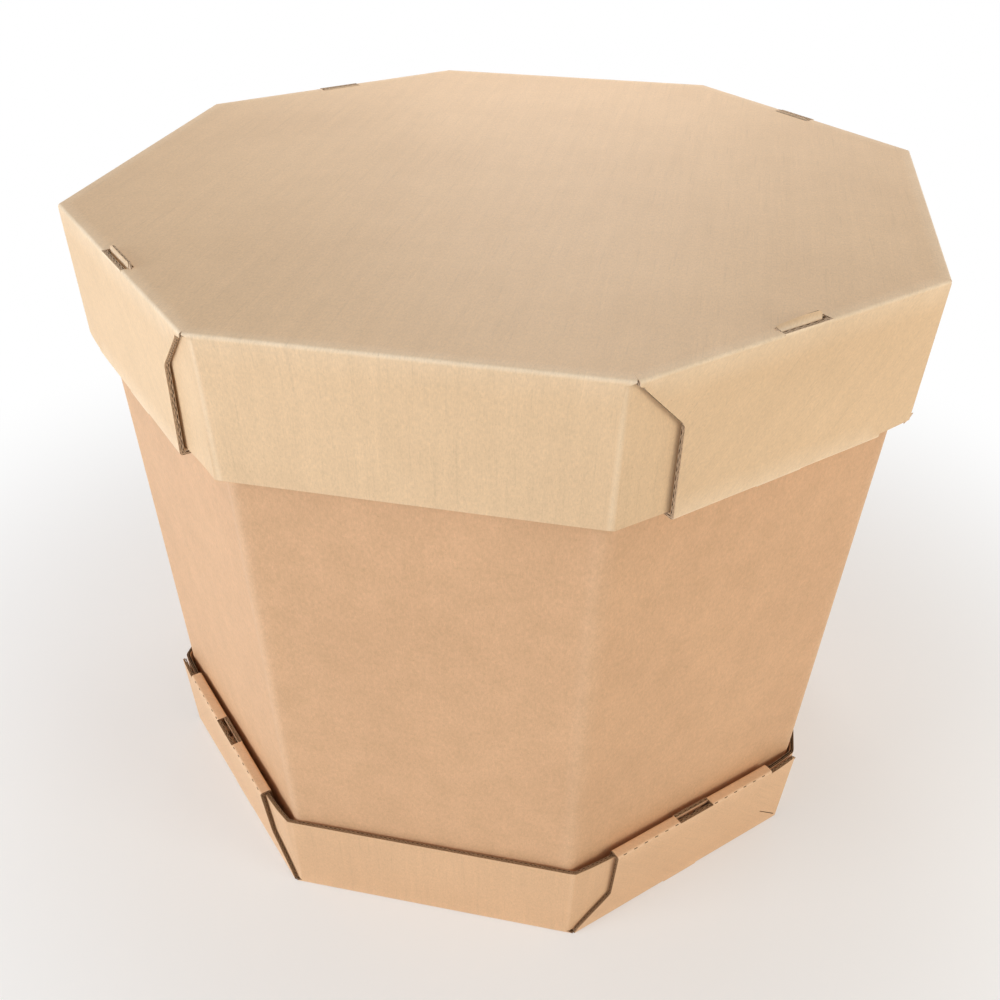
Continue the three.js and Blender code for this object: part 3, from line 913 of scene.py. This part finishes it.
def kraft(name, colour, fold_wear_and_highlight, ribs=0.02, washboard=0.08, flake=0.03, gloss=0.4):
    """Kraft liner: fibres, cloudy tone, streaks, and the flutes that show through along the blank's Y.

    The second colour is the one on folds and creases: paler creased paper with a painted highlight.
    ribs, washboard and flake are the strength of the streaks, of the flutes and of the mottling.
    """
    material, tree, out = nodes_of(name)
    g = Graph(tree)
    blank = g.node("ShaderNodeAttribute", attribute_name="blank").outputs["Vector"]
    parts = g.node("ShaderNodeSeparateXYZ", {0: blank})
    where = g.node("ShaderNodeCombineXYZ", {0: parts.outputs[0], 1: parts.outputs[1]}).outputs[0]
    space = g.node("ShaderNodeTexCoord").outputs["Object"]
    cloud = g.noise(space, 4.0)
    drift = g.noise(space, 28.0)
    mottle = g.noise(space, 330.0, rough=0.65)
    speck = g.noise(space, 520.0, detail=1.0, rough=0.5)
    flakes = g.stretched_noise(where, (170.0, 110.0), detail=4.0, rough=0.7)
    fibre = g.stretched_noise(where, (620.0, 170.0), rough=0.6)
    streaks = g.stretched_noise(where, (75.0, 3.0), detail=2.0, rough=0.5)
    lines = g.stretched_noise(where, (260.0, 9.0), detail=1.0, rough=0.5)
    # Painted highlight: folds and creases turn paler, for creased paper and for the light the rounded folds
    # catch
    fold_highlight_share = g.math("MULTIPLY", parts.outputs[2], g.math("ADD", g.math("MULTIPLY", drift, 0.8), 0.7))
    shade = g.blend(g.math("MINIMUM", fold_highlight_share, 1.0), colour, fold_wear_and_highlight)
    pale_drift = (1 + flake / 2, 1 + flake / 2, 1 + 0.7 * flake, 1.0)
    dark_flake = (1 - 0.8 * flake, 1 - flake, 1 - flake, 1.0)
    dark_speck = (0.84, 0.79, 0.74, 1.0)
    layers = (
        g.ramp(cloud, [(0.3, (0.965, 0.955, 0.945, 1.0)), (0.7, 1.03)]),
        g.ramp(drift, [(0.3, 1 - flake / 2), (0.7, pale_drift)]),
        g.ramp(mottle, [(0.3, 0.95), (0.7, 1.04)]),
        g.ramp(flakes, [(0.3, dark_flake), (0.7, 1 + flake)]),
        g.ramp(streaks, [(0.3, 1 - ribs), (0.7, 1 + ribs)]),
        g.ramp(lines, [(0.28, 1 - 2.5 * ribs), (0.37, 1.0), (0.63, 1.0), (0.72, 1 + 1.5 * ribs)]),
        g.ramp(fibre, [(0.3, 0.93), (0.72, 1.055)]),
        g.ramp(speck, [(0.2, dark_speck), (0.3, 1.0), (0.72, 1.0), (0.82, 1.1)]),
    )
    for layer in layers:
        shade = g.blend(1.0, shade, layer, "MULTIPLY")
    unit_pitch = 2 * math.pi / 20.0  # of the band texture when its scale is 1
    bands = {"Vector": where, "Scale": unit_pitch / (WASHBOARD_PITCH * MM), "Distortion": 0.0}
    flutes = g.node(
        "ShaderNodeTexWave", bands, wave_type="BANDS", bands_direction="X", wave_profile="SIN",
    ).outputs["Fac"]
    height = g.math("ADD", g.math("MULTIPLY", flutes, washboard), g.math("MULTIPLY", mottle, 0.25))
    height = g.math("ADD", height, g.math("MULTIPLY", fibre, 0.25))
    rough = g.ramp(mottle, [(0.3, 0.5), (0.7, 0.62)])
    g.surface(out, shade, rough, g.bump(0.3, height), gloss)
    return material


def raw_paper(name, light, dark):
    """Cut edges and fluted paper: browner and rougher than the faces."""
    material, tree, out = nodes_of(name)
    g = Graph(tree)
    patch = g.noise(g.node("ShaderNodeTexCoord").outputs["Object"], 500.0, rough=0.6)
    shade = g.ramp(patch, [(0.3, dark), (0.68, light)])
    rough = g.ramp(patch, [(0.3, 0.8), (0.7, 0.95)])
    g.surface(out, shade, rough, g.bump(0.5, patch), 0.15)
    return material


CUT_PAPER = raw_paper("cut_liner", srgb(238, 210, 178), srgb(206, 176, 144))
FLUTE_PAPER = raw_paper("fluted_paper", srgb(236, 210, 182), srgb(204, 176, 148))
BROWN_CUT = raw_paper("brown_cut_liner", srgb(180, 146, 114), srgb(142, 110, 82))
BROWN_FLUTE = raw_paper("brown_fluted_paper", srgb(180, 148, 116), srgb(142, 112, 84))
# Dark paper for the hollows inside the boards: painted shade
PAINTED_SHADE_PAPER = raw_paper("shaded_core", srgb(110, 82, 58), srgb(74, 52, 36))

lid_cap = Cap(LID, LID_WALL, ends=(0.45, 0.25), diagonals={
    1: Diagonal((7.0, 7.0), 71.0, 0.5, Tab(2.0, (80, 80), 1.0, 9.0, 0.7)),
    3: Diagonal((7.0, 7.0), 71.0, 1.2, Tab(9.5, (14, 80), 0.86, 7.2, 0.4)),
    5: Diagonal((9.0, 7.0), 80.0, 2.8, Tab(6.5, (78, 78), 0.97, 10.4, 0.6)),
    7: Diagonal((7.0, 7.0), 71.0, 0.5, Tab(1.0, (90, 90), 1.0, 10.0, 0.8)),
})
tight_tab = Tab(0.1, (90, 90), 1.0, 10.7, 1.0)
tray_cap = Cap(TRAY, TRAY_WALL, ends=(0.3, 0.15), diagonals={
    1: Diagonal((9.0, 9.0), FREE_INSET, 0.0, tight_tab, (NICK,)),
    3: Diagonal((12.0, 12.0), FREE_INSET, 0.0, tight_tab),
    5: Diagonal((12.0, 12.0), FREE_INSET, 0.0, tight_tab),
    7: Diagonal((12.0, 6.0), FREE_INSET, 0.0, tight_tab),
})

# Each second colour is the paler creased paper with a painted highlight along the folds
lid_kraft = kraft("lid_kraft", srgb(232, 201, 163), srgb(250, 228, 198), gloss=0.25)
tray_kraft = kraft("tray_kraft", srgb(228, 188, 148), srgb(242, 204, 166))
sleeve_kraft = kraft(
    "sleeve_kraft", srgb(219, 177, 137), srgb(227, 188, 150), ribs=0.008, washboard=0.03, flake=0.075,
)
pale_edges = (CUT_PAPER, FLUTE_PAPER, PAINTED_SHADE_PAPER)
brown_edges = (BROWN_CUT, BROWN_FLUTE, PAINTED_SHADE_PAPER)
turned_over = Matrix.Translation((0, 0, LID_TOP * MM)) @ Matrix.Rotation(math.pi, 4, "X")
upright = Matrix.Identity(4)
lid_board = lid_cap.all().build("lid_board", turned_over, (lid_kraft, *pale_edges))
tray_board = tray_cap.all().build("tray_board", upright, (tray_kraft, *brown_edges))
sleeve_board = sleeve_sheet().build("sleeve_board", upright, (sleeve_kraft, *pale_edges))

for obj, body, node, slot in (
    (tray_board, "box", "base_tray", "tray_board"),
    (sleeve_board, "box", "sleeve", "sleeve_board"),
    (lid_board, "lid", "lid", "lid_board"),
):
    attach(obj, body)
    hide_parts(node)


def backdrop_rays(g):
    """1 for the rays that show the background: seen directly, mirrored or through glass."""
    path = g.node("ShaderNodeLightPath").outputs
    seen = g.math("MAXIMUM", path["Is Camera Ray"], path["Is Glossy Ray"])
    return g.math("MAXIMUM", seen, path["Is Transmission Ray"])


def floor():
    """Pale floor that shows the box's shadow and passes into the white background around it."""
    mesh = bpy.data.meshes.new("floor")
    corners = [(x, y, 0) for x, y in rectangle(-FLOOR_HALF, FLOOR_HALF, -FLOOR_HALF, FLOOR_HALF)]
    mesh.from_pydata(corners, [], [(0, 1, 2, 3)])
    obj = bpy.data.objects.new("floor", mesh)
    bpy.context.scene.collection.objects.link(obj)
    obj.location.z = -FLOOR_DROP
    material, tree, out = nodes_of("pale_floor")
    g = Graph(tree)
    space = g.node("ShaderNodeTexCoord").outputs["Object"]
    tone = g.ramp(g.noise(space, 0.6, detail=2.0), [(0.3, 0.9), (0.7, 0.93)])
    diffuse = g.node("ShaderNodeBsdfDiffuse", {"Color": tone})
    white = g.node("ShaderNodeEmission", {"Color": grey(1.0), "Strength": 1.0})
    away = g.node("ShaderNodeVectorMath", {0: space}, operation="LENGTH").outputs["Value"]
    near, far = SHADE_REACH
    fade = g.node(
        "ShaderNodeMapRange", {"Value": away, "From Min": near, "From Max": far},
        interpolation_type="SMOOTHSTEP",
    ).outputs[0]
    lifted = g.math("ADD", g.math("MULTIPLY", fade, 1 - NEAR_WHITE), NEAR_WHITE)
    share = g.math("MULTIPLY", lifted, backdrop_rays(g))
    mix = g.node("ShaderNodeMixShader", {0: share, 1: diffuse.outputs[0], 2: white.outputs[0]})
    tree.links.new(mix.outputs[0], out.inputs["Surface"])
    mesh.materials.append(material)


def area_light(name, place, target, size, power, tint):
    light = bpy.data.lights.new(name, "AREA")
    light.shape = "DISK"
    light.size = size
    light.energy = power
    light.color = tint
    obj = bpy.data.objects.new(name, light)
    bpy.context.scene.collection.objects.link(obj)
    direction = Vector(target) - Vector(place)
    obj.rotation_euler = direction.to_track_quat("-Z", "Y").to_euler()
    obj.location = place


def world():
    """Warm sky that lights the box, and a white background in its place wherever it shows."""
    scene_world = bpy.data.worlds.new("studio")
    bpy.context.scene.world = scene_world
    scene_world.use_nodes = True
    tree = scene_world.node_tree
    tree.nodes.clear()
    g = Graph(tree)
    sky = g.node("ShaderNodeBackground", {"Color": SKY, "Strength": SKY_STRENGTH})
    white = g.node("ShaderNodeBackground", {"Color": grey(1.0), "Strength": 1.0})
    mix = g.node("ShaderNodeMixShader", {0: backdrop_rays(g), 1: sky.outputs[0], 2: white.outputs[0]})
    out = g.node("ShaderNodeOutputWorld")
    tree.links.new(mix.outputs[0], out.inputs["Surface"])


def camera():
    """At the photograph's place, as fitted to the box's own corners."""
    yaw, pitch, roll = (math.radians(angle) for angle in CAMERA_ANGLES)
    forward = np.array([
        math.sin(yaw) * math.cos(pitch), math.cos(yaw) * math.cos(pitch), -math.sin(pitch),
    ])
    level = np.array([math.cos(yaw), -math.sin(yaw), 0.0])
    right = math.cos(roll) * level + math.sin(roll) * np.cross(level, forward)
    up = np.cross(right, forward)
    matrix = Matrix.Identity(4)
    for row in range(3):
        matrix[row][0] = right[row]
        matrix[row][1] = up[row]
        matrix[row][2] = -forward[row]
    matrix.translation = CAMERA_PLACE
    data = bpy.data.cameras.new("camera")
    data.sensor_fit = "HORIZONTAL"
    data.sensor_width = SENSOR
    data.lens = CAMERA_FOCAL * SENSOR
    data.shift_x, data.shift_y = CAMERA_SHIFT
    data.clip_end = 100.0
    obj = bpy.data.objects.new("camera", data)
    bpy.context.scene.collection.objects.link(obj)
    obj.matrix_world = matrix
    bpy.context.scene.camera = obj


floor()
world()
area_light("key", (-3.0, -2.8, 1.3), (0, 0, 0.6), size=2.2, power=75.0, tint=(0.95, 1.0, 1.05))
area_light("fill", (3.2, -1.5, 1.4), (0, 0, 0.7), size=1.8, power=37.0, tint=(1.0, 0.93, 0.79))
area_light("back", (-0.1, 1.25, 2.0), (0, 0.1, 1.0), size=1.0, power=7.0, tint=(1.0, 0.92, 0.88))
area_light("sheen", (-0.3, 3.4, 1.9), (0, 0.4, 1.0), size=3.4, power=21.0, tint=(1.0, 0.95, 0.91))
camera()
bpy.context.scene.view_settings.view_transform = "Standard"
